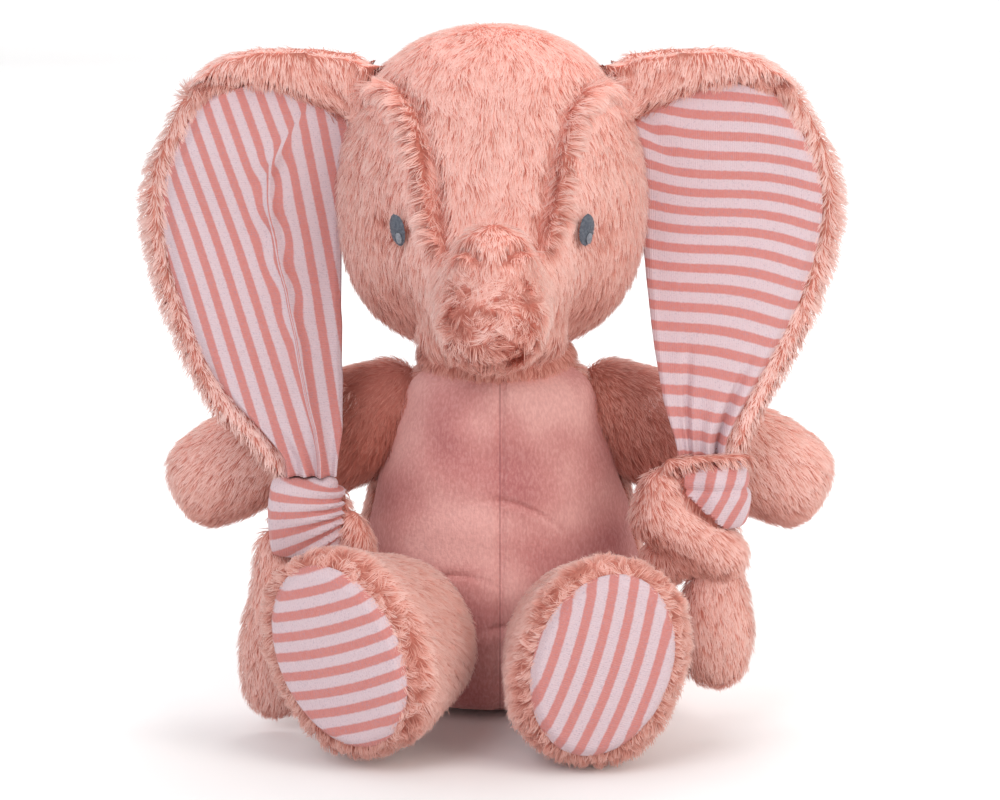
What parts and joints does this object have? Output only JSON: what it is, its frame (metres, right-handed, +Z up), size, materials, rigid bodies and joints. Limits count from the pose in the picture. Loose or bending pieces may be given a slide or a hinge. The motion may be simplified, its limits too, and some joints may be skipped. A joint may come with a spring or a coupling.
{
  "type": "stuffed elephant",
  "caption": "Seated soft toy elephant in fur plush with long striped jersey-lined ears tied in knots, a smooth tummy and striped foot soles.",
  "frame": {"origin": "middle of the flat seat that the toy sits on", "axes": "+Z up, the toy faces -Y, its own left side is towards +X"},
  "size_m": [0.278, 0.2111, 0.272],
  "materials": {
    "fur": "short clumpy faux fur, coral at the roots",
    "plush": "smooth brushed minky plush",
    "jersey": "knitted jersey, striped, matt",
    "stuffing": "loose polyester fibre",
    "pellet_cloth": "plain woven bag",
    "label": "satin ribbon, blank",
    "eye_thread": "satin stitch embroidery",
    "glint_thread": "satin stitch embroidery",
    "seam_thread": "sewing thread"
  },
  "bodies": {
    "body": {"tummy_panel_left": "plush", "tummy_panel_right": "plush", "back_panel_left": "fur", "back_panel_right": "fur", "seat_panel": "plush", "body_stuffing": "stuffing", "pellet_bag": "pellet_cloth", "care_label": "label"},
    "neck": {"neck_seam": "seam_thread"},
    "head": {"forehead_gusset": "fur", "cheek_panel_left": "fur", "cheek_panel_right": "fur", "chin_gusset": "fur", "head_back_left": "fur", "head_back_right": "fur", "head_stuffing": "stuffing", "eye_left": "eye_thread", "eye_right": "eye_thread", "eye_glint_left": "glint_thread", "eye_glint_right": "glint_thread"},
    "ear_left": {"ear_back_left": "fur", "ear_lining_left": "jersey", "ear_fold_left": "fur", "ear_knot_left": "jersey"},
    "ear_right": {"ear_back_right": "fur", "ear_lining_right": "jersey", "ear_fold_right": "fur", "ear_knot_right": "jersey"},
    "ear_end_left": {"ear_end_fur_left": "fur", "ear_end_lining_left": "jersey"},
    "ear_end_right": {"ear_end_fur_right": "fur", "ear_end_lining_right": "jersey"},
    "arm_left": {"arm_front_left": "fur", "arm_back_left": "fur", "arm_stuffing_left": "stuffing"},
    "arm_right": {"arm_front_right": "fur", "arm_back_right": "fur", "arm_stuffing_right": "stuffing"},
    "leg_left": {"leg_inner_left": "fur", "leg_outer_left": "fur", "sole_left": "jersey", "leg_stuffing_left": "stuffing"},
    "leg_right": {"leg_inner_right": "fur", "leg_outer_right": "fur", "sole_right": "jersey", "leg_stuffing_right": "stuffing"},
    "tail": {"tail_tube": "fur", "tail_tuft": "fur"}
  },
  "joints": [
    {"name": "head_turn", "type": "hinge", "parent": "body", "child": "neck", "pos_m": [-0.0015, -0.009, 0.142], "axis": [0, 0, 1], "range_deg": [-4, 4]},
    {"name": "head_nod", "type": "hinge", "parent": "neck", "child": "head", "pos_m": [-0.0015, -0.009, 0.142], "axis": [1, 0, 0], "range_deg": [-4, 6]},
    {"name": "ear_left_lift", "type": "hinge", "parent": "head", "child": "ear_left", "pos_m": [0.047, -0.004, 0.25], "axis": [0, -1, 0], "range_deg": [0, 25]},
    {"name": "ear_right_lift", "type": "hinge", "parent": "head", "child": "ear_right", "pos_m": [-0.053, -0.004, 0.25], "axis": [0, 1, 0], "range_deg": [0, 25]},
    {"name": "ear_end_left_swing", "type": "hinge", "parent": "ear_left", "child": "ear_end_left", "pos_m": [0.084, -0.053, 0.081], "axis": [0, -1, 0], "range_deg": [-4, 20]},
    {"name": "ear_end_right_swing", "type": "hinge", "parent": "ear_right", "child": "ear_end_right", "pos_m": [-0.087, -0.053, 0.073], "axis": [0, 1, 0], "range_deg": [-4, 20]},
    {"name": "arm_left_raise", "type": "hinge", "parent": "body", "child": "arm_left", "pos_m": [0.058, -0.01, 0.123], "axis": [0, -1, 0], "range_deg": [-5, 20]},
    {"name": "arm_right_raise", "type": "hinge", "parent": "body", "child": "arm_right", "pos_m": [-0.058, -0.01, 0.123], "axis": [0, 1, 0], "range_deg": [-5, 20]},
    {"name": "leg_left_swing", "type": "hinge", "parent": "body", "child": "leg_left", "pos_m": [0.031, -0.062, 0.0405], "axis": [-1, 0, 0], "range_deg": [-4, 15]},
    {"name": "leg_right_swing", "type": "hinge", "parent": "body", "child": "leg_right", "pos_m": [-0.036, -0.062, 0.043], "axis": [-1, 0, 0], "range_deg": [-4, 15]},
    {"name": "tail_lift", "type": "hinge", "parent": "body", "child": "tail", "pos_m": [0, 0.0555, 0.046], "axis": [1, 0, 0], "range_deg": [0, 45]}
  ]
}
